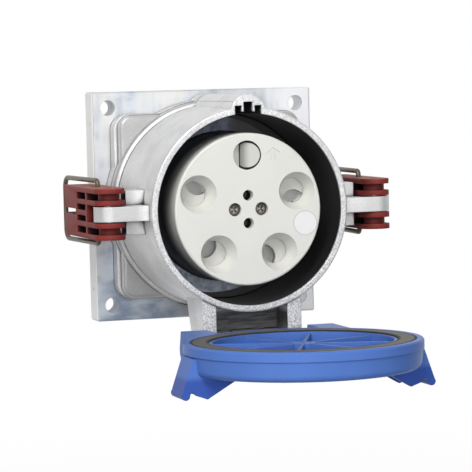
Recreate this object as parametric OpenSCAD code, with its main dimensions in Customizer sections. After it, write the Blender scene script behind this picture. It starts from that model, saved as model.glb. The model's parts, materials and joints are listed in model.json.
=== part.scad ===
// Panel-mounted industrial power socket with a hinged lid and two side draw latches.
// The wall plane is y = 0, the socket faces -Y, +Z is up, and depth is measured forward from the wall.

/* [Mounting plate] */
// Side of the square plate
plate_size = 180; // [176:1:200]
// Thickness of the plate
plate_t = 22; // [20:0.5:28]
// Chamfer along the plate edges
plate_chamfer = 1.2; // [0.5:0.1:2.5]
// Spacing of the wall bolts, across and up
wall_bolt_pitch = 155; // [152:0.5:158]
// Diameter of the wall bolt holes
wall_hole_d = 12; // [8:0.5:13]
// Diameter of the cable opening
cable_opening_d = 116; // [90:1:120]
// Diameter of the tapped holes in the side edge
edge_hole_d = 3.3; // [2.5:0.1:6]
// Spacing of the tapped holes in the side edge
edge_hole_pitch = 130; // [100:1:136]
// Depth of the tapped holes in the side edge
edge_hole_depth = 14; // [6:0.5:20]

/* [Housing base] */
// Thickness of the gasket under the housing
base_gasket_t = 1.5; // [1:0.1:3]
// Height of the base
base_h = 18.5; // [16:0.5:24]
// Height of the base's foot
foot_h = 11.5; // [6:0.5:14]
// Step from the foot in to the rest of the base, on the left and right
foot_step = 2.8; // [0.5:0.1:4]
// Step from the foot in to the rest of the base, above and below
foot_step_up = 1; // [0.5:0.1:4]
// Radius of the round part of the base
base_r = 82; // [80:0.5:86]
// Half width of the square part of the base
base_half = 76.2; // [74:0.1:80]
// Half height of the square part of the base
base_half_up = 72.2; // [71:0.1:76]
// Corner radius of the square part of the base
base_corner_r = 12.5; // [10:0.5:14]
// Rounding of the base's front edge
base_edge_r = 2.6; // [1:0.1:4]
// Radius of the wiring space in the base
wiring_r = 68; // [67:0.5:70]
// Spacing of the housing bolts, across and up
bolt_pitch = 128; // [126:0.5:130]
// Diameter of the housing bolts
bolt_d = 8; // [6:0.5:9]
// Diameter of the housing bolt heads
bolt_head_d = 13; // [10:0.5:14]
// Height of the housing bolt heads
bolt_head_h = 8; // [5:0.5:10]
// Diameter of the hexagon socket in a bolt head
bolt_hex_d = 6.5; // [4:0.1:8]
// Depth of the hexagon socket in a bolt head
bolt_hex_depth = 4; // [2:0.5:4.5]
// Depth of the bolt heads below the back of the plate
bolt_sink = 1; // [0.5:0.1:3]
// Depth that the housing bolts reach into the base
bolt_reach = 13; // [10:0.5:14]

/* [Barrel] */
// Length of the barrel in front of the base
barrel_len = 100.6; // [96:0.2:110]
// Radius of the bead at the root of the barrel
bead_r = 81.2; // [80:0.1:84]
// Length of the bead
bead_len = 3.5; // [2:0.5:8]
// Rounding of the bead
bead_edge_r = 3; // [1:0.1:3.5]
// Length of the groove in front of the bead
groove_len = 4; // [2:0.5:8]
// Depth of the groove
groove_depth = 1; // [0.5:0.1:1.5]
// Radius of the barrel at its root
barrel_r = 78.5; // [77.5:0.1:80]
// Radius of the barrel at its rim
rim_r = 76.8; // [76.4:0.1:78]
// Chamfer on the outer edge of the rim
rim_chamfer = 0.8; // [0.3:0.1:1.5]
// Radius of the mouth
mouth_r = 72.2; // [71:0.1:73]
// Thickness of the lip at the mouth
lip_t = 2.5; // [1.5:0.1:4]
// Thickness of the black liner
liner_t = 1.8; // [1:0.1:2.2]
// Depth from the rim to the floor of the bore
bore_depth = 76.6; // [70:0.2:78]
// Thickness of the floor of the bore
floor_t = 4; // [3:0.2:6]

/* [Key rib] */
// Radius of the rib along the top of the barrel
key_rib_r = 13.3; // [12.5:0.1:14.5]
// Height of the rib's centre above the mouth
key_rib_rise = 1.1; // [0.5:0.1:3]
// Half width of the whole key opening
key_half_w = 10.4; // [9.5:0.1:11]
// Half width of the middle key slot
key_mid_half_w = 3.5; // [2.5:0.1:4]
// Thickness of the teeth between the key slots
key_tooth_t = 1.6; // [1:0.1:2]
// Height of the middle key slot above the mouth
key_mid_h = 8.6; // [7:0.1:9.5]
// Height of the side key slots above the mouth
key_side_h = 5.8; // [4:0.1:6.5]
// Height of the tooth ends above the mouth
key_tooth_h = 1.3; // [0.5:0.1:2.5]

/* [Insert] */
// Radius of the insert
insert_r = 57.4; // [57:0.1:58]
// Distance of the insert's face behind the rim
insert_set = 5.4; // [3:0.2:10]
// Wall of the insert's sleeve
insert_wall = 2.6; // [2:0.1:2.8]
// Thickness of the insert's front wall
insert_front_t = 15; // [12:0.5:18]
// Rounding of the insert's front edge
insert_edge_r = 1.6; // [0.5:0.1:2]
// Radius of the ring of contact positions
pole_ring_r = 40.7; // [39.8:0.1:41.2]
// Diameter of a contact entry at the face
entry_d = 28.5; // [26:0.5:29]
// Diameter of a contact entry at its bottom
entry_inner_d = 19; // [16:0.5:20]
// Depth of the entry's cone
entry_cone = 12; // [8:0.5:12]
// Diameter of the blanked position
blank_d = 22; // [18:0.5:24]
// Distance of the blanking plug's flat from its centre
blank_flat = 5; // [3:0.2:7]
// Depth of the blanked position
blank_depth = 11; // [8:0.5:11.5]
// Slope of the blanking plug's face, in degrees
blank_slope = 16; // [5:1:20]
// Slope of the ramp beside the plug's flat, in degrees
blank_ramp = 40; // [20:1:45]
// Gap round the blanking plug
blank_gap = 1.2; // [0.6:0.1:1.6]
// Shift of the plug towards its round side
blank_shift = 0.8; // [0:0.1:1]
// Radius of the ring of pilot holes and screws
pilot_ring_r = 10.5; // [10:0.1:10.8]
// Diameter of a pilot hole
pilot_d = 8; // [5:0.2:8.4]
// Diameter of a face screw's recess
screw_recess_d = 10; // [9:0.2:10.4]
// Depth of a face screw's recess
screw_recess_depth = 7; // [4:0.5:10]
// Diameter of a face screw's shank
screw_d = 5; // [3:0.2:5.4]
// Diameter of a face screw's head
screw_head_d = 9; // [8.2:0.1:9]
// Height of a face screw's head
screw_head_h = 3.5; // [2:0.1:4]
// Depth that a face screw bites into the terminal plate
screw_bite = 5; // [3:0.5:6]
// Width of the cross recess in a face screw's head
screw_cross_w = 5.4; // [4:0.1:6]
// Width of the arms of the cross recesses
cross_arm_w = 1.3; // [0.8:0.1:1.6]
// Depth of the cross recess in a face screw's head
screw_cross_depth = 1.8; // [1:0.1:2]
// Diameter of the round sticker
sticker_d = 19; // [14:0.5:19.4]
// Thickness of the round sticker
sticker_t = 0.2; // [0.1:0.05:0.5]
// Height of the collar on the floor of the bore
collar_h = 4; // [2:0.5:8]
// Gap between the collar and the insert
collar_gap = 1; // [0.4:0.1:2]
// Rounding of the collar's outer edge
collar_edge_r = 1; // [0.3:0.1:1.8]

/* [Shutter] */
// Thickness of the shutter
shutter_t = 4; // [3:0.2:6]
// Running gap on each face of the shutter
shutter_gap = 0.4; // [0.3:0.05:0.6]
// Turn that closes the shutter, in degrees
shutter_turn = 13; // [10:0.5:16]
// Radius of the boss that carries the shutter
shutter_boss_r = 16.8; // [16.4:0.1:18]

/* [Contacts] */
// Outer diameter of a contact's sleeve
contact_d = 24; // [22.4:0.2:25]
// Bore of a contact's sleeve
contact_bore_d = 19; // [17:0.2:20]
// Length of a contact's sleeve
contact_len = 42; // [34:0.5:44]
// Thickness of the floor of a contact's sleeve
contact_floor_t = 8; // [5:0.5:10]
// Diameter of a contact's shank
shank_d = 16; // [13:0.5:17]
// Distance of the shank's end in front of the plate
shank_clear = 8; // [4:0.5:12]
// Bore for the wire in the shank
wire_bore_d = 10; // [8:0.2:11]
// Depth of the bore for the wire
wire_bore_depth = 20; // [14:0.5:22]
// Width of the slits in the sleeve
contact_slit_w = 1.2; // [0.6:0.1:2]
// Distance of the slits from the back of the sleeve
contact_slit_set = 14; // [12:0.5:18]
// Diameter of a terminal screw
terminal_screw_d = 6; // [4:0.2:7]
// Length of a terminal screw
terminal_screw_len = 9; // [7:0.5:12]
// Diameter of the hexagon socket in a terminal screw
terminal_hex_d = 3; // [2:0.1:3.4]
// Depth of the hexagon socket in a terminal screw
terminal_hex_depth = 4.5; // [2:0.5:5]
// Outer diameter of a pilot contact
pilot_contact_d = 7; // [4.5:0.2:7.4]
// Length of a pilot contact
pilot_contact_len = 30; // [20:1:34]
// Bore of a pilot contact
pilot_bore_d = 4.2; // [2.6:0.1:4.4]
// Length of a pilot contact's solid end
pilot_solid = 7.5; // [5:0.5:10]
// Diameter of the hole for a pilot wire
pilot_wire_d = 3.5; // [2:0.1:4]
// Thickness of the terminal plate
carrier_flange_t = 8; // [7:0.5:10]
// Radius of the terminal plate
carrier_flange_r = 66; // [65:0.5:66.4]
// Diameter of the screws that hold the terminal plate
carrier_screw_d = 4; // [3:0.2:4.6]
// Diameter of those screws' heads
carrier_head_d = 7.2; // [6:0.1:7.6]
// Height of those screws' heads
carrier_head_h = 2.8; // [2:0.1:4]
// Depth of the cross recess in those screws' heads
carrier_cross_depth = 1.4; // [0.8:0.1:1.6]
// Depth that those screws bite into the floor
carrier_bite = 2.4; // [1.5:0.1:2.8]

/* [Latches] */
// Distance of the lever pins from the sides of the blocks
latch_pin_x = 14.3; // [13.5:0.1:19.5]
// Distance of the lever pins behind the rim
latch_pin_set = 17.6; // [15:0.1:22]
// Diameter of the lever pins
latch_pin_d = 7; // [5:0.1:9]
// Distance of the pin's ends below the lever's faces
latch_pin_sink = 0.5; // [0.2:0.1:2]
// Height of the arm that carries a lever
arm_h = 11.3; // [8:0.1:11.8]
// Radius of the arm's round end
arm_end_r = 11.7; // [9:0.1:12.5]
// Height of the block behind the arm
block_h = 33; // [24:0.5:36]
// Reach of the block from the barrel's axis
block_reach = 90.5; // [86:0.5:91.5]
// Distance from the lever pin back to the block's front
block_set = 6; // [3:0.5:9]
// Length of the block along the barrel
block_len = 24; // [16:0.5:30]
// Height of a lever
lever_h = 38.4; // [36:0.2:41]
// Radius of a lever's round front end
lever_r = 11.7; // [10.5:0.1:12]
// Length of a lever behind its pin
lever_len = 95; // [86:0.5:97]
// Thickness of a lever's flanges
flange_t = 3.9; // [3:0.1:4.4]
// Height of the fork's gap
fork_gap = 12.8; // [12.4:0.1:14]
// Distance from the pin to the bridge behind the fork's gap
fork_depth = 14; // [13:0.1:17]
// Radius of the hubs round the pin
hub_r = 8; // [6.5:0.1:9]
// Distance from the pin to the cross rib
cross_rib_set = 22; // [20:0.5:26]
// Thickness of the cross rib
cross_rib_t = 4.4; // [3:0.1:5]
// Thickness of the lever's upright web
web_t = 3; // [2:0.1:5]
// Height of the middle rib and of the slit in the grip
slit_h = 4; // [2.5:0.1:5]
// Distance from the pin to the grip
grip_set = 53; // [48:0.5:58]
// Rounding of the grip's corners
grip_round = 2.5; // [1:0.1:4]

/* [Bails] */
// Diameter of the wire
wire_d = 3.8; // [3:0.1:4.2]
// Height of the legs above and below the middle
bail_half_h = 23.8; // [23:0.1:26]
// Distance from the lever pin back to the bail's pivot
bail_set = 33.5; // [32.5:0.1:38]
// Bend radius at the crossbar
bail_corner_r = 8; // [5:0.2:10]
// Bend radius at the pivot
bail_pivot_bend_r = 3.2; // [2.6:0.1:4]
// Depth of the bail's ends in the lever
bail_end_depth = 10; // [7:0.2:11]
// Turn of a folded bail away from its lever, in degrees
bail_turn = 2.7; // [0:0.1:4]
// Wall round the bail's ends in the lever
bail_boss_wall = 2.6; // [1.5:0.1:3.5]

/* [Hinge] */
// Height of the hinge axis below the barrel's axis
hinge_drop = 101.7; // [100:0.1:106]
// Distance of the hinge axis in front of the rim
hinge_reach = 14.7; // [14:0.1:18]
// Diameter of the hinge pin
hinge_pin_d = 8; // [5:0.1:10]
// Half gap between the hinge ears
ear_inside = 28.2; // [24:0.2:32]
// Thickness of a hinge ear
ear_t = 10.8; // [8:0.2:13]
// Radius of the ears round the pin
ear_r = 9; // [7.5:0.1:10]
// Slope of the ears' top, from the barrel to the pin
ear_lead = 1; // [0.5:0.1:4]
// Distance of the ears' front behind the rim
ear_set = 2.6; // [2:0.1:6]
// Length of the ears' heel along the barrel
ear_heel = 10; // [8:0.5:14]
// Depth of the ears along the barrel
ear_depth = 41; // [34:0.5:46]
// Thickness of the web between the ears
ear_web_t = 6; // [4:0.2:10]
// Distance of the web behind the ears' front
ear_web_set = 26; // [20:0.5:30]

/* [Lid] */
// Radius of the lid
lid_r = 85.7; // [84.6:0.1:87]
// Height of the lid
lid_h = 21.2; // [20:0.1:24]
// Height of the lid's upper band
lid_band_h = 7; // [6:0.1:10]
// Step below the upper band
lid_step = 0.7; // [0.3:0.1:1.2]
// Taper of the lower band
lid_taper = 1.6; // [0.5:0.1:3]
// Rounding of the lid's lower edge
lid_edge_r = 5; // [2:0.1:6]
// Chamfer of the lid's upper edge
lid_chamfer = 1; // [0.4:0.1:1.5]
// Thickness of the lid's floor
lid_floor_t = 4; // [3:0.1:5]
// Inner radius of the lid's gasket
seal_in_r = 67; // [66:0.1:69]
// Outer radius of the lid's gasket
seal_out_r = 80.6; // [79.5:0.1:81.5]
// Thickness of the lid's gasket
seal_t = 5; // [3.5:0.1:5.5]
// Chamfer of the gasket's edges
seal_chamfer = 0.6; // [0.3:0.1:1.2]
// Thickness of the wall inside the gasket
seal_wall = 2.5; // [1.5:0.1:4]
// Drop of that wall below the lid's face
seal_wall_drop = 1; // [0.5:0.1:2]
// Number of ribs inside the lid
lid_ribs = 8; // [6:1:12]
// Thickness of a rib inside the lid
lid_rib_t = 2.4; // [1.5:0.1:4]
// Height of a rib inside the lid
lid_rib_h = 15; // [8:0.1:15.5]
// Radius of the hub inside the lid
lid_hub_r = 9; // [6:0.5:14]
// Width of a hinge tab
tab_w = 20; // [14:0.5:22]
// Radius of the tabs round the pin
tab_r = 9.4; // [7.5:0.1:9.8]
// Drop of the tabs' top below the lid's face
tab_drop = 0.5; // [0.4:0.1:4]
// Reach of the tabs' flat top past the pin's middle
tab_flat = 5.6; // [2:0.1:6]
// Wall that closes the outer end of a tab's bore
tab_cap_t = 3; // [2:0.1:5]

/* [Catches] */
// Distance of the catch notch from the lid's middle
notch_x = 86.3; // [85.5:0.1:87]
// Distance of the catch notch below the lid's face
notch_drop = 33.6; // [31:0.1:36]
// Width of a catch
catch_w = 28; // [20:0.5:34]
// Thickness of a catch's outer plate
catch_plate_t = 4.6; // [3:0.1:6]
// Thickness of a catch's gussets
gusset_t = 4.5; // [3:0.1:7]
// Spread of a catch from the notch to its tip
catch_tip = 8.2; // [7:0.1:10]
// Drop of the catch's nose below the notch
catch_nose = 3; // [2:0.1:5]
// Distance from the notch in to the inner tooth
catch_lead = 10.5; // [8:0.1:13]
// Distance of the gusset's inner end from the lid's middle
gusset_x = 49; // [45:0.5:56]

/* [Clearances] */
// Radial clearance of pins that turn
pin_clear = 0.05; // [0.02:0.01:0.1]
// Clearance of pieces that fit together
fit_clear = 0.1; // [0.05:0.01:0.2]
// Clearance between pieces that move past each other
move_clear = 0.3; // [0.3:0.05:0.6]
// Clearance of bolts and screws in their through holes
bolt_clear = 0.4; // [0.2:0.05:0.6]

/* [Hidden] */
$fn = 96;
// Length by which a cut runs past a face, or joined shapes run into each other
cut = 1;

// Depths in front of the wall
base_back = plate_t + base_gasket_t;
base_front = base_back + base_h;
rim = base_front + barrel_len;
bore_floor = rim - bore_depth;
floor_back = bore_floor - floor_t;
insert_front = rim - insert_set;
insert_inner = insert_front - insert_front_t;
shutter_back = insert_inner - shutter_gap - shutter_t;
carrier_front = shutter_back - shutter_gap;
contact_back = carrier_front - fit_clear - contact_len;
shank_end = plate_t + shank_clear;
terminal_depth = shank_end + wire_bore_depth / 2;
terminal_back = floor_back - carrier_flange_t;
screw_seat = insert_front - screw_recess_depth;
screw_end = floor_back - screw_bite;
pin_depth = rim - latch_pin_set;
bail_depth = pin_depth - bail_set;
hinge_depth = rim + hinge_reach;
ear_front = rim - ear_set;

// Distance of the lever pins from the barrel's axis
pin_x = block_reach + latch_pin_x;

// Radii
liner_r = mouth_r + liner_t;
floor_r = insert_r + move_clear;
carrier_r = insert_r - insert_wall - fit_clear;
shutter_r = carrier_r - 2 * move_clear;
bail_r = wire_d / 2;
carrier_screw_ring = (floor_r + wiring_r) / 2 - move_clear;

// Contact positions, as angles seen from the front
BLANK_ANGLE = 90;
CONTACT_ANGLES = [162, 18, 234, 306];
PILOT_ANGLES = [90, 270];
FACE_SCREW_ANGLES = [0, 180];
CARRIER_SCREW_ANGLES = [45, 135, 225, 315];
CROSS_ANGLES = [45, 135];
HEX = 6;
sticker_ring_r = insert_r - sticker_d / 2 - insert_edge_r - fit_clear;
STICKER_ANGLE = -15;

// The open lid lies level: its middle comes to the barrel's axis when it is closed
lid_y = -(hinge_depth + hinge_drop);
lid_z = hinge_reach - hinge_drop - move_clear;
groove_in_r = seal_in_r - fit_clear;
groove_out_r = seal_out_r + fit_clear;
lid_floor_top = lid_floor_t - lid_h;
rib_pitch = 360 / lid_ribs;
lid_root_r = lid_r - 2 * lid_step - lid_taper - lid_edge_r;
tab_inside = ear_inside + ear_t + 2 * move_clear;
tab_outside = tab_inside + tab_w;

// The bail reaches from its pivot to the notch of the closed lid
notch_depth = rim + move_clear + notch_drop;
bail_len = norm([pin_x - notch_x, notch_depth - bail_depth]);

// Turns a shape drawn in front view, with depth along Z, to face the viewer
module facing() rotate([90, 0, 0]) children();

// Turns a side outline, drawn with Y and Z, so that it is extruded along X
module sideways() rotate([90, 0, 90]) children();

module both_sides() {
    children();
    mirror([1, 0, 0]) children();
}

module above_and_below() {
    children();
    mirror([0, 0, 1]) children();
}

module at_corners(across, up) {
    for (x = [-1, 1], y = [-1, 1]) translate([x * across / 2, y * up / 2]) children();
}

module at_ring(radius, angles) {
    for (a = angles) rotate(a) translate([radius, 0]) rotate(-a) children();
}

// Half of a turned section with its outer front edge rounded
module rounded_section(radius, height, edge) {
    square([radius, height - edge]);
    square([radius - edge, height]);
    translate([radius - edge, height - edge]) circle(edge);
}

module full_section(half, height, edge) {
    rounded_section(half, height, edge);
    mirror([1, 0]) rounded_section(half, height, edge);
}

// Slab with round corners and a rounded front edge
module rounded_slab(half_w, half_h, corner, height, edge) {
    run_w = 2 * (half_w - corner);
    run_h = 2 * (half_h - corner);
    at_corners(run_w, run_h) rotate_extrude() rounded_section(corner, height, edge);
    rotate([90, 0, 0]) linear_extrude(run_h, center = true) full_section(half_w, height, edge);
    rotate([90, 0, 90]) linear_extrude(run_w, center = true) full_section(half_h, height, edge);
}

module rounded_rect(half_w, half_h, corner) {
    run_w = 2 * (half_w - corner);
    run_h = 2 * (half_h - corner);
    at_corners(run_w, run_h) circle(corner);
    square([2 * half_w, run_h], center = true);
    square([run_w, 2 * half_h], center = true);
}

module chamfered_rect(w, h, c) {
    polygon([
        [c - w / 2, -h / 2], [w / 2 - c, -h / 2], [w / 2, c - h / 2], [w / 2, h / 2 - c],
        [w / 2 - c, h / 2], [c - w / 2, h / 2], [-w / 2, h / 2 - c], [-w / 2, c - h / 2]
    ]);
}

// Milled plate with chamfered edges, wall bolt holes and the cable opening
module mounting_plate() {
    color("gainsboro") facing() difference() {
        translate([0, 0, plate_t / 2]) intersection() {
            linear_extrude(plate_t, center = true) chamfered_rect(plate_size, plate_size, plate_chamfer);
            rotate([90, 0, 0])
                linear_extrude(plate_size, center = true)
                    chamfered_rect(plate_size, plate_t, plate_chamfer);
            rotate([90, 0, 90])
                linear_extrude(plate_size, center = true)
                    chamfered_rect(plate_size, plate_t, plate_chamfer);
        }
        translate([0, 0, -cut]) {
            cylinder(d = cable_opening_d, h = plate_t + 2 * cut);
            at_corners(wall_bolt_pitch, wall_bolt_pitch) cylinder(d = wall_hole_d, h = plate_t + 2 * cut);
            at_corners(bolt_pitch, bolt_pitch) {
                cylinder(d = bolt_d + 2 * bolt_clear, h = plate_t + 2 * cut);
                cylinder(d = bolt_head_d + 2 * bolt_clear, h = bolt_sink + bolt_head_h + cut);
            }
        }
        for (y = [-1, 1])
            translate([-plate_size / 2 - cut, y * edge_hole_pitch / 2, plate_t / 2])
                rotate([0, 90, 0]) cylinder(d = edge_hole_d, h = edge_hole_depth + cut);
    }
}

module base_outline() {
    circle(base_r);
    rounded_rect(base_half, base_half_up, base_corner_r);
}

module base_gasket() {
    color("dimgray") facing() translate([0, 0, plate_t]) linear_extrude(base_gasket_t) difference() {
        base_outline();
        circle(wiring_r);
        at_corners(bolt_pitch, bolt_pitch) circle(d = bolt_d + 2 * bolt_clear);
    }
}

// Outside of the barrel: the bead at its root, the groove and the cone up to the rim
module barrel_section() {
    groove_r = barrel_r - groove_depth;
    groove_front = base_front + bead_len + groove_len;
    translate([0, base_back]) rounded_section(bead_r, base_h + bead_len, bead_edge_r);
    polygon([
        [0, base_front], [groove_r, base_front], [groove_r, groove_front], [barrel_r, groove_front],
        [rim_r, rim - rim_chamfer], [rim_r - rim_chamfer, rim], [0, rim]
    ]);
}

module key_slots() {
    side_w = key_half_w - key_mid_half_w - key_tooth_t;
    deep = bore_depth + cut;
    translate([0, 0, bore_floor]) {
        translate([-key_half_w, 0, 0]) cube([2 * key_half_w, mouth_r + key_tooth_h, deep]);
        translate([-key_mid_half_w, 0, 0]) cube([2 * key_mid_half_w, mouth_r + key_mid_h, deep]);
        both_sides()
            translate([key_half_w - side_w, 0, 0]) cube([side_w, mouth_r + key_side_h, deep]);
    }
}

// Arm and block that carry one lever, on the right
module latch_mount() {
    linear_extrude(arm_h, center = true) {
        translate([pin_x, -pin_depth]) circle(arm_end_r);
        translate([mouth_r, -pin_depth - arm_end_r])
            square([pin_x - mouth_r, 2 * arm_end_r]);
    }
    linear_extrude(block_h, center = true) {
        block_front = pin_depth - block_set;
        step = block_reach - rim_r;
        polygon([
            [mouth_r, -block_front], [block_reach, -block_front],
            [block_reach, step - block_front], [block_reach - step, block_len - block_front],
            [mouth_r, block_len - block_front]
        ]);
    }
}

// One hinge ear: it drops from the barrel and bends forward to the pin
module ear_outline() {
    shoulder = hinge_drop - ear_r - ear_lead;
    back = ear_front - ear_depth;
    heel = back + ear_heel;
    translate([-hinge_depth, -hinge_drop]) circle(ear_r);
    polygon([
        [-back, -floor_r], [-ear_front, -floor_r], [-ear_front, -shoulder],
        [-hinge_depth, ear_r - hinge_drop], [-hinge_depth, -hinge_drop - ear_r],
        [-heel, -hinge_drop + ear_r], [-back, -barrel_r + ear_r]
    ]);
}

module hinge_ears() {
    both_sides() translate([ear_inside, 0, 0]) sideways() linear_extrude(ear_t) ear_outline();
    web_front = ear_front - ear_web_set;
    web_bottom = hinge_drop - ear_r;
    translate([-ear_inside, -web_front, -web_bottom])
        cube([2 * ear_inside, ear_web_t, web_bottom - floor_r]);
}

// Cast housing: lobed base, barrel, key rib, latch arms and hinge ears in one piece
module housing() {
    color("silver") difference() {
        union() {
            facing() {
                translate([0, 0, base_back]) {
                    linear_extrude(foot_h) base_outline();
                    rounded_slab(
                        base_half - foot_step, base_half_up - foot_step_up, base_corner_r - foot_step,
                        base_h, base_edge_r
                    );
                }
                rotate_extrude() barrel_section();
                translate([0, mouth_r + key_rib_rise, base_back])
                    cylinder(r = key_rib_r, h = rim - base_back);
            }
            both_sides() latch_mount();
            hinge_ears();
        }
        facing() {
            translate([0, 0, base_back - cut]) cylinder(r = wiring_r, h = floor_back - base_back + cut);
            translate([0, 0, floor_back - cut]) cylinder(r = floor_r, h = floor_t + 2 * cut);
            translate([0, 0, bore_floor]) cylinder(r = liner_r + fit_clear, h = bore_depth - lip_t);
            translate([0, 0, bore_floor]) cylinder(r = mouth_r, h = bore_depth + cut);
            key_slots();
            at_corners(bolt_pitch, bolt_pitch)
                translate([0, 0, base_back - cut])
                    cylinder(d = bolt_d + 2 * fit_clear, h = bolt_reach + fit_clear + cut);
            at_ring(carrier_screw_ring, CARRIER_SCREW_ANGLES)
                translate([0, 0, floor_back - cut])
                    cylinder(d = carrier_screw_d + 2 * fit_clear, h = carrier_bite + fit_clear + cut);
        }
        both_sides()
            translate([pin_x, -pin_depth, 0])
                cylinder(d = latch_pin_d + 2 * pin_clear, h = arm_h + cut, center = true);
        translate([0, -hinge_depth, -hinge_drop]) rotate([0, 90, 0])
            cylinder(d = hinge_pin_d + 2 * pin_clear, h = 2 * tab_outside, center = true);
    }
}

// Black sleeve behind the lip of the mouth, open at the key slots
module bore_liner() {
    color([0.05, 0.05, 0.06]) facing() difference() {
        translate([0, 0, bore_floor]) cylinder(r = liner_r, h = bore_depth - lip_t);
        translate([0, 0, bore_floor - cut]) cylinder(r = mouth_r, h = bore_depth + 2 * cut);
        translate([-key_half_w - fit_clear, 0, bore_floor - cut])
            cube([2 * (key_half_w + fit_clear), liner_r + cut, bore_depth + 2 * cut]);
    }
}

// Flat ring on the floor of the bore, round the foot of the insert
module insert_collar() {
    color([0.3, 0.34, 0.4]) facing() translate([0, 0, bore_floor]) rotate_extrude() difference() {
        rounded_section(mouth_r - fit_clear, collar_h, collar_edge_r);
        translate([0, -cut]) square([insert_r + collar_gap, collar_h + 2 * cut]);
    }
}

// Insulating plate behind the floor of the bore: the shanks and pilot wires pass through it
module terminal_plate() {
    through = carrier_flange_t + 2 * cut;
    color("wheat") facing() difference() {
        translate([0, 0, terminal_back]) cylinder(r = carrier_flange_r, h = carrier_flange_t);
        translate([0, 0, terminal_back - cut]) {
            at_ring(pole_ring_r, CONTACT_ANGLES) cylinder(d = shank_d + 2 * fit_clear, h = through);
            at_ring(pilot_ring_r, PILOT_ANGLES) cylinder(d = pilot_wire_d, h = through);
            at_ring(carrier_screw_ring, CARRIER_SCREW_ANGLES)
                cylinder(d = carrier_screw_d + 2 * fit_clear, h = through);
        }
        at_ring(pilot_ring_r, FACE_SCREW_ANGLES)
            translate([0, 0, screw_end - fit_clear])
                cylinder(d = screw_d + 2 * fit_clear, h = screw_bite + fit_clear + cut);
    }
}

// Insulating block that holds the contacts, with the boss that the shutter turns on
module contact_carrier() {
    color("wheat") facing() difference() {
        translate([0, 0, floor_back]) {
            cylinder(r = carrier_r, h = carrier_front - floor_back);
            cylinder(r = shutter_boss_r, h = insert_inner - floor_back);
        }
        at_ring(pole_ring_r, CONTACT_ANGLES) {
            translate([0, 0, contact_back])
                cylinder(d = contact_d + 2 * fit_clear, h = carrier_front - contact_back + cut);
            translate([0, 0, floor_back - cut])
                cylinder(d = shank_d + 2 * fit_clear, h = contact_back - floor_back + 2 * cut);
        }
        at_ring(pilot_ring_r, PILOT_ANGLES) {
            translate([0, 0, insert_inner - pilot_contact_len])
                cylinder(d = pilot_contact_d + 2 * fit_clear, h = pilot_contact_len + cut);
            translate([0, 0, floor_back - cut]) cylinder(d = pilot_wire_d, h = insert_inner - floor_back);
        }
        at_ring(pilot_ring_r, FACE_SCREW_ANGLES)
            translate([0, 0, floor_back - cut])
                cylinder(d = screw_d + 2 * bolt_clear, h = insert_inner - floor_back + 2 * cut);
    }
}

// Safety shutter, shown closed: its holes stand beside the contact entries
module shutter() {
    color([0.85, 0.86, 0.84]) facing() translate([0, 0, shutter_back]) difference() {
        cylinder(r = shutter_r, h = shutter_t);
        translate([0, 0, -cut]) {
            cylinder(r = shutter_boss_r + pin_clear, h = shutter_t + 2 * cut);
            rotate(-shutter_turn) at_ring(pole_ring_r, CONTACT_ANGLES)
                cylinder(d = entry_inner_d, h = shutter_t + 2 * cut);
        }
    }
}

module contact_entry() {
    translate([0, 0, insert_inner - cut]) cylinder(d = entry_inner_d, h = insert_front_t + 2 * cut);
    translate([0, 0, insert_front - entry_cone])
        cylinder(d1 = entry_inner_d, d2 = entry_d, h = entry_cone);
    translate([0, 0, insert_front]) cylinder(d = entry_d, h = cut);
}

// Room of the blanking plug: round, and cut off by the plug's flat
module blank_seat(radius) {
    intersection() {
        translate([0, 0, insert_front - blank_depth]) cylinder(r = radius, h = blank_depth + cut);
        translate([-blank_flat, -blank_d, insert_inner])
            cube([2 * blank_d, 2 * blank_d, 2 * insert_front_t]);
    }
}

// Ramp that leads down to the plug's flat
module blank_lead() {
    intersection() {
        translate([0, 0, insert_front - blank_depth]) cylinder(d = blank_d, h = blank_depth + cut);
        translate([-blank_d / 2, -blank_d, insert_front]) rotate([0, blank_ramp, 0])
            cube([2 * blank_d, 2 * blank_d, 2 * blank_d]);
    }
}

// Sleeve round the carrier, clamped between the insert's face and the terminal plate
module insert_sleeve() {
    sleeve = insert_inner - floor_back;
    color([0.9, 0.9, 0.88]) facing() translate([0, 0, floor_back]) difference() {
        cylinder(r = insert_r, h = sleeve);
        translate([0, 0, -cut]) cylinder(r = insert_r - insert_wall, h = sleeve + 2 * cut);
    }
}

// Light moulded disc with the contact entries and a rounded front edge
module insert_face() {
    color([0.9, 0.9, 0.88]) facing() difference() {
        translate([0, 0, insert_inner])
            rotate_extrude() rounded_section(insert_r, insert_front_t, insert_edge_r);
        at_ring(pole_ring_r, CONTACT_ANGLES) contact_entry();
        at_ring(pole_ring_r, [BLANK_ANGLE]) {
            blank_seat(blank_d / 2);
            blank_lead();
        }
        at_ring(pilot_ring_r, PILOT_ANGLES)
            translate([0, 0, insert_inner - cut]) cylinder(d = pilot_d, h = insert_front_t + 2 * cut);
        at_ring(pilot_ring_r, FACE_SCREW_ANGLES) {
            translate([0, 0, insert_inner - cut])
                cylinder(d = screw_d + 2 * bolt_clear, h = insert_front_t + 2 * cut);
            translate([0, 0, screw_seat]) cylinder(d = screw_recess_d, h = screw_recess_depth + cut);
        }
    }
}

// D-shaped plug with a sloping face
module blanking_plug() {
    color([0.88, 0.88, 0.86]) facing() at_ring(pole_ring_r, [BLANK_ANGLE]) difference() {
        translate([blank_shift, 0, 0]) blank_seat(blank_d / 2 - blank_gap);
        translate([blank_d / 2, 0, insert_front - fit_clear])
            rotate([0, -blank_slope, 0])
                translate([-2 * blank_d, -blank_d, 0]) cube([3 * blank_d, 2 * blank_d, blank_d]);
    }
}

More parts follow.
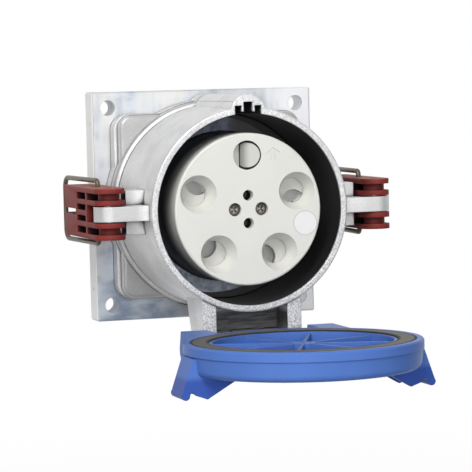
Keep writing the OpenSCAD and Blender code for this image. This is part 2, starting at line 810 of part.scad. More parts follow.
// Slit sleeve with a shank that is bored for the wire
module contact(angle) {
    color([0.72, 0.72, 0.7]) facing() at_ring(pole_ring_r, [angle]) difference() {
        union() {
            translate([0, 0, contact_back]) cylinder(d = contact_d, h = contact_len);
            translate([0, 0, shank_end]) cylinder(d = shank_d, h = contact_back - shank_end + cut);
        }
        translate([0, 0, contact_back + contact_floor_t]) cylinder(d = contact_bore_d, h = contact_len);
        translate([0, 0, shank_end - cut]) cylinder(d = wire_bore_d, h = wire_bore_depth + cut);
        for (a = [0, 90])
            rotate(a + angle)
                translate([-contact_d, -contact_slit_w / 2, contact_back + contact_slit_set])
                    cube([2 * contact_d, contact_slit_w, contact_len]);
        rotate(angle) translate([0, 0, terminal_depth]) rotate([0, 90, 0])
            cylinder(d = terminal_screw_d + 2 * fit_clear, h = shank_d);
    }
}

module pilot_contacts() {
    color([0.72, 0.72, 0.7]) facing() at_ring(pilot_ring_r, PILOT_ANGLES)
        translate([0, 0, insert_inner - pilot_contact_len]) difference() {
            cylinder(d = pilot_contact_d, h = pilot_contact_len - fit_clear);
            translate([0, 0, pilot_solid]) cylinder(d = pilot_bore_d, h = pilot_contact_len);
        }
}

module cross_recess(width, depth) {
    for (a = CROSS_ANGLES)
        rotate(a)
            translate([-width / 2, -cross_arm_w / 2, -depth]) cube([width, cross_arm_w, depth + cut]);
}

module face_screws() {
    color("slategray") facing() at_ring(pilot_ring_r, FACE_SCREW_ANGLES) difference() {
        union() {
            translate([0, 0, screw_seat]) cylinder(d = screw_head_d, h = screw_head_h);
            translate([0, 0, screw_end]) cylinder(d = screw_d, h = screw_seat - screw_end + cut);
        }
        translate([0, 0, screw_seat + screw_head_h]) cross_recess(screw_cross_w, screw_cross_depth);
    }
}

module carrier_screws() {
    color("slategray") facing() at_ring(carrier_screw_ring, CARRIER_SCREW_ANGLES)
        translate([0, 0, terminal_back - carrier_head_h]) difference() {
            union() {
                cylinder(d = carrier_head_d, h = carrier_head_h);
                cylinder(d = carrier_screw_d, h = carrier_head_h + carrier_flange_t + carrier_bite);
            }
            mirror([0, 0, 1]) cross_recess(carrier_screw_d, carrier_cross_depth);
        }
}

// Socket set screws that clamp the wires
module terminal_screws() {
    color("slategray") facing() for (angle = CONTACT_ANGLES)
        rotate(angle) translate([pole_ring_r + wire_bore_d / 2 - cut, 0, terminal_depth])
            rotate([0, 90, 0]) difference() {
                cylinder(d = terminal_screw_d, h = terminal_screw_len);
                translate([0, 0, terminal_screw_len - terminal_hex_depth])
                    cylinder(d = terminal_hex_d, h = terminal_hex_depth + cut, $fn = HEX);
            }
}

module housing_bolts() {
    shank = plate_t - bolt_sink + base_gasket_t + bolt_reach;
    color("slategray") facing() at_corners(bolt_pitch, bolt_pitch)
        translate([0, 0, bolt_sink]) difference() {
            union() {
                cylinder(d = bolt_head_d, h = bolt_head_h);
                cylinder(d = bolt_d, h = shank);
            }
            translate([0, 0, -cut]) cylinder(d = bolt_hex_d, h = bolt_hex_depth + cut, $fn = HEX);
        }
}

// Plain round sticker on the face
module sticker() {
    color("white") facing() at_ring(sticker_ring_r, [STICKER_ANGLE])
        translate([0, 0, insert_front]) cylinder(d = sticker_d, h = sticker_t);
}

module latch_pin() {
    color("darkgray") translate([pin_x, -pin_depth, 0])
        cylinder(d = latch_pin_d, h = lever_h - 2 * latch_pin_sink, center = true);
}

module latch_pin_right() latch_pin();

module latch_pin_left() mirror([1, 0, 0]) latch_pin();

// Plan of a lever: round in front, with rounded corners at the back
module lever_plan() {
    circle(lever_r);
    translate([-lever_r, 0]) square([2 * lever_r, lever_len - grip_round]);
    translate([grip_round - lever_r, 0]) square([2 * (lever_r - grip_round), lever_len]);
    for (x = [-1, 1]) translate([x * (lever_r - grip_round), lever_len - grip_round]) circle(grip_round);
}

// Part of the lever's plan between two distances behind the pin
module lever_slice(from, to) {
    intersection() {
        lever_plan();
        translate([-2 * lever_r, from]) square([4 * lever_r, to - from]);
    }
}

// Ribbed lever: flanges, hubs, webs and a split grip; it straddles the arm
module lever() {
    half = lever_h / 2;
    bail_boss_r = bail_r + pin_clear + bail_boss_wall;
    color([0.6, 0.3, 0.26]) translate([pin_x, -pin_depth, 0]) difference() {
        union() {
            above_and_below() {
                translate([0, 0, half - flange_t]) linear_extrude(flange_t) lever_plan();
                translate([0, 0, fork_gap / 2]) {
                    linear_extrude(flange_t) lever_slice(-lever_r, grip_set + cut);
                    linear_extrude(half - fork_gap / 2 - cut) {
                        circle(hub_r);
                        translate([0, bail_set]) circle(bail_boss_r);
                        translate([-web_t / 2, 0]) square([web_t, grip_set + cut]);
                    }
                }
                translate([0, 0, slit_h / 2])
                    linear_extrude(half - slit_h / 2) lever_slice(grip_set, lever_len);
            }
            linear_extrude(lever_h - flange_t, center = true)
                lever_slice(cross_rib_set, cross_rib_set + cross_rib_t);
            linear_extrude(fork_gap + flange_t, center = true)
                translate([-web_t / 2, fork_depth]) square([web_t, grip_set - fork_depth + cut]);
            linear_extrude(slit_h, center = true) lever_slice(cross_rib_set, grip_set + cross_rib_t);
        }
        cylinder(d = latch_pin_d + 2 * pin_clear, h = lever_h + cut, center = true);
        above_and_below()
            translate([0, bail_set, half - bail_end_depth - move_clear])
                cylinder(r = bail_r + pin_clear, h = bail_end_depth + lever_h);
    }
}

module lever_right() lever();

module lever_left() mirror([1, 0, 0]) lever();

// Quarter bend of the wire, drawn in the YZ plane from +Y to +Z
module wire_bend(radius) {
    sideways() rotate_extrude(angle = 90) translate([radius, 0]) circle(bail_r);
}

// Wire bail, folded back along its lever
module bail() {
    end = lever_h / 2 - bail_end_depth;
    pivot_top = bail_half_h - bail_pivot_bend_r;
    corner_y = bail_len - bail_corner_r;
    corner_z = bail_half_h - bail_corner_r;
    color([0.6, 0.55, 0.42]) translate([pin_x, -bail_depth, 0]) rotate(-bail_turn) {
        above_and_below() {
            translate([0, 0, end]) cylinder(r = bail_r, h = pivot_top - end);
            translate([0, bail_pivot_bend_r, pivot_top]) mirror([0, 1, 0]) wire_bend(bail_pivot_bend_r);
            translate([0, bail_pivot_bend_r, bail_half_h]) rotate([-90, 0, 0])
                cylinder(r = bail_r, h = corner_y - bail_pivot_bend_r);
            translate([0, corner_y, corner_z]) wire_bend(bail_corner_r);
        }
        translate([0, bail_len, 0]) cylinder(r = bail_r, h = 2 * corner_z, center = true);
    }
}

module bail_right() bail();

module bail_left() mirror([1, 0, 0]) bail();

module hinge_pin() {
    half = tab_outside - tab_cap_t - move_clear;
    color("darkgray") translate([0, -hinge_depth, -hinge_drop]) rotate([0, 90, 0])
        cylinder(d = hinge_pin_d, h = 2 * half, center = true);
}

// Section of the lid, from its face down, with the groove for the gasket and a rounded lower edge
module lid_section() {
    wall_in = groove_in_r - seal_wall;
    wall_top = -seal_wall_drop;
    step_r = lid_r - lid_step;
    side = [lid_h - lid_band_h, -lid_taper] / norm([lid_h - lid_band_h, lid_taper]);
    edge_z = lid_edge_r - lid_h;
    edge_x = step_r - (lid_edge_r + side[1] * (edge_z + lid_band_h)) / side[0];
    edge = [edge_x, edge_z];
    translate(edge) circle(lid_edge_r);
    polygon([
        [0, -lid_h], [edge_x, -lid_h], edge, edge + lid_edge_r * side, [step_r, -lid_band_h],
        [lid_r, -lid_band_h], [lid_r, -lid_chamfer], [lid_r - lid_chamfer, 0], [groove_out_r, 0],
        [groove_out_r, -seal_t], [groove_in_r, -seal_t], [groove_in_r, wall_top], [wall_in, wall_top],
        [wall_in, lid_floor_top], [0, lid_floor_top]
    ]);
}

// Hinge tab that reaches back from the lid to the pin
module lid_tab() {
    hinge_y = hinge_drop;
    hinge_z = -hinge_drop - lid_z;
    root = lid_r / 2;
    difference() {
        translate([tab_inside, 0, 0]) sideways() linear_extrude(tab_w) {
            translate([hinge_y, hinge_z]) circle(tab_r);
            polygon([
                [root, -tab_drop], [hinge_y + tab_flat, -tab_drop], [hinge_y + tab_r, hinge_z],
                [hinge_y, hinge_z - tab_r], [root, -lid_h]
            ]);
        }
        translate([0, 0, -2 * lid_h]) cylinder(r = lid_root_r, h = 3 * lid_h);
        translate([0, 0, -seal_t]) cylinder(r = groove_out_r, h = 2 * seal_t);
        translate([tab_inside - cut, hinge_y, hinge_z]) rotate([0, 90, 0])
            cylinder(d = hinge_pin_d + 2 * pin_clear, h = tab_w - tab_cap_t + cut);
    }
}

// Outline of a catch across the lid: the inner tooth, the notch for the bail and the round nose
module catch_outline() {
    tip_x = notch_x + catch_tip;
    tip_z = -notch_drop - catch_nose;
    seat_r = bail_r + move_clear;
    nose_r = (catch_tip - seat_r) / 2;
    nose = [tip_x - nose_r, tip_z + nose_r];
    band = -lid_band_h - cut;
    translate(nose) circle(nose_r);
    difference() {
        polygon([
            [gusset_x, -lid_h], [notch_x - catch_lead, tip_z], [notch_x - seat_r, -notch_drop],
            [notch_x + seat_r, -notch_drop], nose - [nose_r, 0], nose + [nose_r, 0], [lid_r, band],
            [lid_root_r, band], [lid_root_r, lid_floor_top], [gusset_x, lid_floor_top - cut]
        ]);
        translate([notch_x, -notch_drop]) circle(seat_r);
    }
}

module lid_catch() {
    plate_x = notch_x + catch_tip - catch_plate_t;
    rotate([90, 0, 0]) {
        for (s = [-1, 1])
            translate([0, 0, s * (catch_w - gusset_t) / 2])
                linear_extrude(gusset_t, center = true) catch_outline();
        linear_extrude(catch_w, center = true) intersection() {
            catch_outline();
            polygon([
                [plate_x, -notch_drop - lid_h], [plate_x + 3 * catch_tip, -notch_drop - lid_h],
                [lid_r + 2 * catch_tip, 0], [lid_r - catch_plate_t, -lid_band_h]
            ]);
        }
    }
}

// Moulded lid, shown open: ribbed inside, with hinge tabs and two notched catches
module lid() {
    color([0.25, 0.42, 0.75]) translate([0, lid_y, lid_z]) {
        rotate_extrude() lid_section();
        translate([0, 0, lid_floor_top - cut]) {
            cylinder(r = lid_hub_r, h = lid_rib_h + cut);
            for (i = [0 : lid_ribs - 1])
                rotate(rib_pitch / 2 + i * rib_pitch)
                    translate([0, -lid_rib_t / 2, 0])
                        cube([groove_in_r - seal_wall / 2, lid_rib_t, lid_rib_h + cut]);
        }
        both_sides() {
            lid_tab();
            lid_catch();
        }
    }
}

module lid_gasket() {
    low = -seal_chamfer;
    color([0.35, 0.33, 0.28]) translate([0, lid_y, lid_z]) rotate_extrude() polygon([
        [seal_in_r, -seal_t], [seal_out_r, -seal_t], [seal_out_r, low], [seal_out_r - seal_chamfer, 0],
        [seal_in_r + seal_chamfer, 0], [seal_in_r, low]
    ]);
}

mounting_plate();
base_gasket();
housing();
bore_liner();
insert_collar();
terminal_plate();
contact_carrier();
shutter();
insert_sleeve();
insert_face();
blanking_plug();
contact(CONTACT_ANGLES[0]);  // contact_1
contact(CONTACT_ANGLES[1]);  // contact_2
contact(CONTACT_ANGLES[2]);  // contact_3
contact(CONTACT_ANGLES[3]);  // contact_4
pilot_contacts();
face_screws();
carrier_screws();
terminal_screws();
housing_bolts();
sticker();
latch_pin_left();
latch_pin_right();
lever_left();
lever_right();
bail_left();
bail_right();
hinge_pin();
lid();
lid_gasket();
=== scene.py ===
"""Looks of the industrial socket: finishes, bent wire, rounded levers, small trim, light and camera.

Metres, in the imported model's frame: the wall is y = 0, the socket faces -Y and +Z is up.
"""
import json
import math

import bmesh
import bpy
from mathutils import Matrix, Vector


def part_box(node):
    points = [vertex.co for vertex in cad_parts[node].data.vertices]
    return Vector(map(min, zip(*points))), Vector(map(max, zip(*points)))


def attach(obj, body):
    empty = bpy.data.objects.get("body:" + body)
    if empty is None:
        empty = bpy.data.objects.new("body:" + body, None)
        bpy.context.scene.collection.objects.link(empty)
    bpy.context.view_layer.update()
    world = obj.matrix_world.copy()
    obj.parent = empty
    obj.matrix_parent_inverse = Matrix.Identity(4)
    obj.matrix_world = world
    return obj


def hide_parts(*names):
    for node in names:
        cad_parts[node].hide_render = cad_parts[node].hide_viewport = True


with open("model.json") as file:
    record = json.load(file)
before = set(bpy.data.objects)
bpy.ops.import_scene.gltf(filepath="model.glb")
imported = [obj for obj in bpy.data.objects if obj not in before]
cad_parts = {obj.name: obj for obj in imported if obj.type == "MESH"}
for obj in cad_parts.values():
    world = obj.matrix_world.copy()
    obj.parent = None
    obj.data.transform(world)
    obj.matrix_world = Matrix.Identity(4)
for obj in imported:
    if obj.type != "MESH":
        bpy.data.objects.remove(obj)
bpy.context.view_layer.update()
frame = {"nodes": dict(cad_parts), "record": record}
nodes = frame["nodes"]
scene = bpy.context.scene

MM = 0.001

# Where the camera stands, how it is turned in degrees, and its lens
CAMERA_PLACE = (-0.5857, -1.9987, 0.1028)
CAMERA_YAW = 17.175
CAMERA_PITCH = 3.597
CAMERA_ROLL = -1.415
SENSOR = 36.0
IMAGE_SIZE = 472
FOCAL_PIXELS = 2600

# Soft boxes: place, size and watts; all of them face one point of the socket
SOFT_BOXES = {
    "key_box": ((-0.9, -1.6, 1.5), 1.0, 40),
    "fill_box": ((-1.7, -1.9, -0.05), 1.2, 14),
    "front_box": ((-0.4, -2.7, 0.2), 0.8, 17),
    "side_box": ((0.85, -2.3, 0.35), 1.3, 7),
}
LIGHT_AIM = Vector((0, -0.1, 0))

# Even light from all round, and the room that metal mirrors on the camera's side, as shares of white
AMBIENT = 0.15
ROOM = 0.16

# Where the white backdrop begins and is full, backwards and upwards, as parts of a direction
BACKDROP_BEHIND = (-0.35, 0.25)
BACKDROP_ABOVE = (0.05, 0.6)

# Floor: its height and reach, how white it shows below the socket, how far off it turns all white,
# and between which depths metal begins to mirror it as white
FLOOR_HEIGHT = -0.32
FLOOR_REACH = 30
FLOOR_WHITE = 0.95
FLOOR_FADE = (0.3, 1.2)
FLOOR_MIRRORED = (-0.5, 0.3)

# In the groups below, a pair holds the places between which one tone turns into the next

# Mounting plate: half its width, its right side lightened as painted light, its lower part dimmed
# as painted shade, its sawn edge, and the shift and number of the cutter's arcs
PLATE_HALF = 90.0 * MM
PLATE_PAINTED_LIGHT = (30 * MM, 80 * MM)
PLATE_PAINTED_SHADE = (10 * MM, 85 * MM)
PLATE_SAWN = (PLATE_HALF - 0.8 * MM, PLATE_HALF - 0.3 * MM)
CUTTER_SHIFT = (0.35, 0, 0.1)
CUTTER_ARCS = 190

# Casting: its machined front and how far down its specks grow darker, the face of its base,
# and its left arm; the base face and the arm are darkened as painted shade
FRONT_DEPTH = 140.0 * MM
FRONT_SKIN = (FRONT_DEPTH - 1.5 * MM, FRONT_DEPTH - 0.5 * MM)
FRONT_SPECKS_DOWN = (0, 70 * MM)
BASE_FACE = -42.0 * MM
BASE_BEFORE = (BASE_FACE - 4 * MM, BASE_FACE - 1 * MM)
BASE_BEHIND = (BASE_FACE + 2 * MM, BASE_FACE + 0.5 * MM)
ARM_LEFT = (80 * MM, 88 * MM)

# Casting: the opening for the key, darkened as painted shade, half its width, its bottom and its top
KEY_HALF = 10.4 * MM
KEY_SIDE = (KEY_HALF + 0.5 * MM, KEY_HALF + 0.1 * MM)
KEY_LOW = (72.4 * MM, 72.8 * MM)
KEY_HIGH = (81.6 * MM, 81.2 * MM)

# Casting: half the gap between the hinge ears, and the web in it, painted dark as shade, with a lighter
# foot
EAR_GAP_HALF = 28.2 * MM
EAR_GAP_SIDE = (EAR_GAP_HALF + 0.6 * MM, EAR_GAP_HALF + 0.1 * MM)
WEB_SHADE = (74 * MM, 80 * MM)
WEB_FOOT = (84 * MM, 95 * MM)

# Lower edge of the web between the hinge ears: front and back, top and bottom, and its two slots
WEB_FRONT = -114.0 * MM
WEB_BACK = -108.0 * MM
WEB_EDGE_TOP = -92.0 * MM
WEB_EDGE_BOTTOM = -96.7 * MM
WEB_SLOT_PLACE = 12.6 * MM
WEB_SLOT_WIDTH = 9.3 * MM
WEB_SLOT_DEPTH = 3.0 * MM

# Wire of the bails: thickness, its two bends, the length of its ends inside the lever, sides and steps
BAIL_WIRE = 3.8 * MM
BAIL_PIVOT_BEND = 3.2 * MM
BAIL_CORNER_BEND = 8.0 * MM
BAIL_END_DEPTH = 10.0 * MM
WIRE_SIDES = 20
BEND_STEPS = 10

# Levers: the painted light on their top faces, the painted shadow of the barrel on the right one,
# and their rounded edges
LEVER_TOP = 19.2 * MM
LEVER_TOP_LIGHT = (LEVER_TOP - 0.5 * MM, LEVER_TOP - 0.1 * MM)
LEVER_RIGHT = (0, 1 * MM)
LEVER_SHADOW = (106.0 * MM, 93.0 * MM)
LEVER_EDGE = 0.7 * MM
EDGE_STEPS = 2
SHARP_DEGREES = 32
FLAT_DEGREES = 0.4
MERGE_DISTANCE = 0.002 * MM

# Insert: where its sleeve turns from light to black, as painted shade
SLEEVE_PAINTED_SHADE = (-121.0 * MM, -100.0 * MM)

# Collar: from its lower tone, lit as painted light, to its upper tone, dark as painted shade; its right
# side, greyer and darker as painted shade; and the round middle outside which it is painted black as
# shade
COLLAR_UPWARD = (-45 * MM, 45 * MM)
COLLAR_GREY = (2 * MM, 14 * MM)
COLLAR_RING = (-8.0 * MM, 0, 1.5 * MM)
COLLAR_RING_EDGE = (68.0 * MM, 68.8 * MM)

# Blanking plug: its edge, painted black as shade, and how far the painted shadow of its flat side reaches
PLUG_EDGE = 0.8 * MM
PLUG_SHADOW = 8.0 * MM

# Face screws: the painted shade on their edge and their top, in parts of the head's radius
SCREW_EDGE = (0.25, 0.9)
SCREW_TOP = (-0.1, 0.75)

# Sticker: how far inside its outline the cut edge turns grey
STICKER_RIM = (1.1 * MM, 0.3 * MM)

# Lid: its catches below the rim, darkened as painted shade, and the gasket with the grooves along its
# edges
LID_CATCHES = (-107 * MM, -112 * MM)
GASKET_WIDTH = 13.6 * MM
GASKET_GROOVE = (GASKET_WIDTH / 2 - 2.6 * MM, GASKET_WIDTH / 2 - 1.4 * MM)

# Bushes of the pilot holes
BUSH_OUTSIDE = 7.8 * MM
BUSH_INSIDE = 6.0 * MM
BUSH_LENGTH = 7.0 * MM
BUSH_SINK = 7.0 * MM
BUSH_SIDES = 40

# Flat tips of the power contacts
CONTACTS = ("contact_1", "contact_2", "contact_3", "contact_4")
TIP_WIDTH = 18.9 * MM
TIP_THICKNESS = 4.0 * MM
TIP_SINK = 2.2 * MM
TIP_SIDES = 48

# Raised arrow on the insert's face: points across and up from the middle, in mm
ARROW_WIDTH = 1.0 * MM
ARROW_STROKES = {
    "arrow_head": [(15.6, 42.6), (20.2, 46.4), (25.4, 42.6)],
    "arrow_stroke_left": [(19.0, 41.6), (19.0, 36.4)],
    "arrow_stroke_right": [(21.6, 41.6), (21.6, 36.4)],
}

# Nearly black, painted as shade into deep gaps, edges and shadowed places
BLACK = (0.01, 0.01, 0.01)


class Link:
    """An output socket in a Python expression: each operator adds a Math node to its tree."""

    def __init__(self, tree, socket):
        self.tree = tree
        self.socket = socket

    def other(self, name):
        """Another output of the same node."""
        return Link(self.tree, self.socket.node.outputs[name])

    def math(self, operation, *terms):
        """A Math node in the same tree."""
        return self.tree.node("ShaderNodeMath", {"operation": operation}, dict(enumerate(terms)))

    def __add__(self, term):
        return self.math("ADD", self, term)

    def __radd__(self, term):
        return self.math("ADD", term, self)

    def __sub__(self, term):
        return self.math("SUBTRACT", self, term)

    def __rsub__(self, term):
        return self.math("SUBTRACT", term, self)

    def __mul__(self, term):
        return self.math("MULTIPLY", self, term)

    def __rmul__(self, term):
        return self.math("MULTIPLY", term, self)

    def __abs__(self):
        return self.math("ABSOLUTE", self)

    def or_more(self, term):
        """The larger of two values."""
        return self.math("MAXIMUM", self, term)


class Tree:
    """A node tree that is built from Python, one node per call."""

    def __init__(self, tree):
        self.tree = tree
        tree.nodes.clear()

    def node(self, kind, settings=None, sockets=None, out=0):
        """A new node: its settings, then the values or links of its sockets; gives one of its outputs."""
        made = self.tree.nodes.new(kind)
        for name, value in (settings or {}).items():
            setattr(made, name, value)
        for key, value in (sockets or {}).items():
            if isinstance(value, Link):
                self.tree.links.new(value.socket, made.inputs[key])
            else:
                made.inputs[key].default_value = value
        return Link(self, made.outputs[out]) if made.outputs else made

    def ramp(self, value, low, high):
        """Spreads a value between two levels from 0 to 1."""
        return self.node(
            "ShaderNodeMapRange",
            {"interpolation_type": "SMOOTHSTEP"},
            {"Value": value, "From Min": low, "From Max": high},
        )


class Former(Tree):
    """A Geometry Nodes tree with named sizes; it ends in one realised mesh with one finish."""

    def __init__(self, name, sizes):
        group = bpy.data.node_groups.new(name, "GeometryNodeTree")
        super().__init__(group)
        group.interface.new_socket("Start", in_out="INPUT", socket_type="NodeSocketGeometry")
        for size in sizes:
            group.interface.new_socket(size, in_out="INPUT", socket_type="NodeSocketFloat")
        group.interface.new_socket("Form", in_out="OUTPUT", socket_type="NodeSocketGeometry")
        self.entry = group.nodes.new("NodeGroupInput")

    def given(self, name):
        """The starting mesh or one of the sizes."""
        return Link(self, self.entry.outputs[name])

    def on_points(self, form):
        """The form at each of the start's points, its axis turned along Y."""
        turned = self.node(
            "GeometryNodeTransform", sockets={"Geometry": form, "Rotation": (math.pi / 2, 0, 0)}
        )
        return self.node(
            "GeometryNodeInstanceOnPoints", sockets={"Points": self.given("Start"), "Instance": turned}
        )

    def close(self, form, material):
        """Ends the tree with one plain mesh that wears the finish."""
        whole = self.node("GeometryNodeRealizeInstances", sockets={"Geometry": form})
        worn = self.node("GeometryNodeSetMaterial", sockets={"Geometry": whole, "Material": material})
        self.node("NodeGroupOutput", sockets={"Form": worn})

    def make(self, name, start, sizes):
        """Runs the tree on a starting mesh and returns the plain object that comes out."""
        piece = bpy.data.objects.new(name, start)
        scene.collection.objects.link(piece)
        modifier = piece.modifiers.new("form", "NODES")
        modifier.node_group = self.tree
        for socket in self.tree.interface.items_tree:
            if socket.name in sizes:
                modifier[socket.identifier] = sizes[socket.name]
        evaluated = piece.evaluated_get(bpy.context.evaluated_depsgraph_get())
        plain = bpy.data.meshes.new_from_object(evaluated)
        piece.modifiers.clear()
        piece.data = plain
        return piece


class Finish(Tree):
    """A material for one of the record's slots."""

    def __init__(self, name):
        self.material = bpy.data.materials.new(name)
        self.material.use_nodes = True
        super().__init__(self.material.node_tree)
        self.where = self.node("ShaderNodeTexCoord", out="Object")

    def grain(self, size_mm, detail=2.0, stretch=(1, 1, 1)):
        """Noise from 0 to 1 with spots of about that size."""
        place = self.node("ShaderNodeMapping", sockets={"Vector": self.where, "Scale": stretch})
        return self.node(
            "ShaderNodeTexNoise", sockets={"Vector": place, "Scale": 1 / (size_mm * MM), "Detail": detail}
        )

    def tint(self, factor, first, second):
        """Colour between two others."""
        return self.node(
            "ShaderNodeMix",
            {"data_type": "RGBA"},
            {0: factor, 6: colour(first), 7: colour(second)},
            out=2,
        )

    def bump(self, height, depth_mm, strength=1.0, after=None):
        """Normal of a fine relief of that depth, on top of another normal."""
        sockets = {"Height": height, "Distance": depth_mm * MM, "Strength": strength}
        if after:
            sockets["Normal"] = after
        return self.node("ShaderNodeBump", sockets=sockets)

    def edges(self, radius_mm):
        """Normal that turns softly over an edge."""
        return self.node("ShaderNodeBevel", {"samples": 6}, {"Radius": radius_mm * MM})

    def cavity(self, reach_mm, closed, open_, alone=True):
        """Ambient occlusion: 0 deep in a corner or gap, 1 on open faces; alone leaves other pieces out of
        it.
        Where it darkens a colour, that is painted shade.
        """
        light = self.node(
            "ShaderNodeAmbientOcclusion",
            {"only_local": alone, "samples": 12},
            {"Distance": reach_mm * MM},
            out="AO",
        )
        return self.ramp(light, closed, open_)

    def axes(self):
        """The place on the piece as three numbers."""
        split = self.node("ShaderNodeSeparateXYZ", sockets={0: self.where})
        return split, split.other("Y"), split.other("Z")

    def off_axis(self, middle, keep):
        """Distance from an axis through a point; keep is 1 along the two directions that count."""
        moved = self.node("ShaderNodeVectorMath", {"operation": "SUBTRACT"}, {0: self.where, 1: middle})
        flat = self.node("ShaderNodeVectorMath", {"operation": "MULTIPLY"}, {0: moved, 1: keep})
        return self.node("ShaderNodeVectorMath", {"operation": "LENGTH"}, {0: flat}, out="Value")

    def surface(self, **sockets):
        """Closes the material: each name is a socket of the Principled shader."""
        shader = self.node("ShaderNodeBsdfPrincipled", sockets={
            key.replace("_", " "): colour(value) for key, value in sockets.items()
        })
        self.node("ShaderNodeOutputMaterial", sockets={"Surface": shader})
        return self.material


def colour(value):
    """A colour of three numbers gets its alpha; anything else stays."""
    return (*value, 1.0) if isinstance(value, tuple) and len(value) == 3 else value


def scaled(values, factor):
    """A colour that is lighter or darker by a factor, or a pair of places in other units."""
    return tuple(factor * value for value in values)


def milled_aluminium():
    """Face-milled plate: arcs of the cutter, cloudy blue and warm patches, bright sawn edges;
    its right side is lightened as painted light and its lower part dimmed as painted shade.
    """
    finish = Finish("milled_aluminium")
    across, _, height = finish.axes()
    # Painted light: the right side of the plate is lightened
    painted_right_light = finish.ramp(across, *PLATE_PAINTED_LIGHT)
    # Painted shade: the lower part of the plate, away from the right side, is dimmed
    low = finish.ramp(height * -1, *PLATE_PAINTED_SHADE) * (1 - painted_right_light)
    clouds = finish.grain(48, 3)
    patches = finish.grain(26, 5, stretch=(1, 1, 1.8))
    streaks = finish.grain(7, 4, stretch=(1, 1, 0.1))
    cutter = finish.node("ShaderNodeMapping", sockets={"Vector": finish.where, "Location": CUTTER_SHIFT})
    arcs = finish.node(
        "ShaderNodeTexWave",
        {"wave_type": "RINGS", "rings_direction": "Y"},
        {"Vector": cutter, "Scale": CUTTER_ARCS, "Distortion": 0.6, "Detail": 2.0},
    )
    cool = finish.tint(finish.ramp(patches, 0.36, 0.62), (0.22, 0.275, 0.37), (0.50, 0.54, 0.60))
    # Random clouds and streaks, with the painted shade below and the painted light on the right
    sheen = finish.ramp(clouds * 0.7 + streaks * 0.3 - 0.2 * low + 0.2 * painted_right_light, 0.36, 0.62)
    # Pale tone of the plate, lighter on the right as painted light
    bright = finish.tint(painted_right_light, (0.605, 0.602, 0.592), (0.75, 0.76, 0.785))
    tone = finish.tint(sheen, cool, bright)
    sawn = finish.ramp(abs(across), *PLATE_SAWN)
    return finish.surface(
        Base_Color=finish.tint(sawn, tone, (0.95, 0.945, 0.93)),
        Metallic=0.55 - 0.4 * sawn,
        Roughness=0.34 + 0.2 * patches,
        Normal=finish.bump(arcs, 0.02, 0.35, finish.edges(0.6)),
    )


def cast_aluminium():
    """Blasted casting: fine pits and clouds, darker specks on the machined front, more of them lower
    down;
    painted shade in its corners, near other parts, on its base, its left arm, the web and the key
    opening.
    """
    finish = Finish("cast_aluminium")
    across, depth, height = finish.axes()
    clouds = finish.grain(22, 4)
    pits = finish.grain(0.9, 3)
    specks = finish.ramp(pits, 0.40, 0.60)
    front = finish.ramp(depth * -1, *FRONT_SKIN)
    skin = finish.tint(finish.ramp(clouds, 0.32, 0.68), (0.66, 0.66, 0.66), (0.77, 0.77, 0.765))
    # More dark specks on the machined front, more of them lower down
    front_specks = front * (0.3 + 0.34 * finish.ramp(height * -1, *FRONT_SPECKS_DOWN))
    grainy = finish.tint(specks * (0.24 + front_specks), skin, (0.36, 0.36, 0.38))
    # Painted shade: the face of the base and the left arm are darkened
    base = finish.ramp(depth, *BASE_BEFORE) * finish.ramp(depth, *BASE_BEHIND)
    arm = finish.ramp(across * -1, *ARM_LEFT)
    painted_base_and_arm_shade = finish.tint(0.62 * base + 0.36 * arm, grainy, (0.22, 0.22, 0.218))
    # Painted shade in the casting's own corners and creases
    painted_corner_shade = finish.tint(finish.cavity(3, 0.48, 0.85), (0.17, 0.165, 0.16), painted_base_and_arm_shade)
    # Painted shadow where other parts come close to the casting
    painted_shadow_of_parts = finish.tint(finish.cavity(12, 0.3, 0.54, alone=False), BLACK, painted_corner_shade)
    lines = finish.ramp(finish.grain(1.4, 3, stretch=(0.12, 1, 1)), 0.35, 0.65)
    # Painted shade: the web between the hinge ears is darkened, less so at its foot
    between = finish.ramp(abs(across), *EAR_GAP_SIDE)
    painted_web_shade = between * finish.ramp(height * -1, *WEB_SHADE) * (1 - front)
    foot = finish.ramp(height * -1, *WEB_FOOT)
    # Painted shade: the opening for the key is darkened
    keyed = finish.ramp(abs(across), *KEY_SIDE)
    slots = keyed * finish.ramp(height, *KEY_LOW) * finish.ramp(height, *KEY_HIGH)
    # All the painted shade of the web and the key opening; it also takes the metal out of them
    dark = painted_web_shade * (0.90 + 0.1 * lines) * (1 - 0.12 * foot) + slots * (1 - front)
    return finish.surface(
        Base_Color=finish.tint(dark, painted_shadow_of_parts, (0.012, 0.012, 0.014)),
        Metallic=0.58 - 0.58 * dark,
        Roughness=0.38 + 0.16 * pits,
        Normal=finish.bump(pits, 0.16, 0.5, finish.edges(1.0)),
    )


def black_plastic():
    """Black moulding of the liner and the bushes, with a faint sheen."""
    finish = Finish("black_plastic")
    skin = finish.grain(1.2, 2)
    return finish.surface(
        Base_Color=finish.tint(skin, (0.003, 0.003, 0.004), (0.008, 0.008, 0.009)),
        Roughness=0.45 + 0.1 * skin,
        Specular_IOR_Level=0.14,
        Sheen_Weight=0.06,
        Sheen_Roughness=0.4,
        Normal=finish.bump(skin, 0.03, 0.4),
    )


def base_rubber():
    """Dull dark rubber between the plate and the casting."""
    finish = Finish("base_gasket")
    skin = finish.grain(1.0, 2)
    return finish.surface(
        Base_Color=finish.tint(skin, (0.03, 0.03, 0.032), (0.05, 0.05, 0.052)),
        Roughness=0.7,
        Normal=finish.bump(skin, 0.05, 0.4),
    )


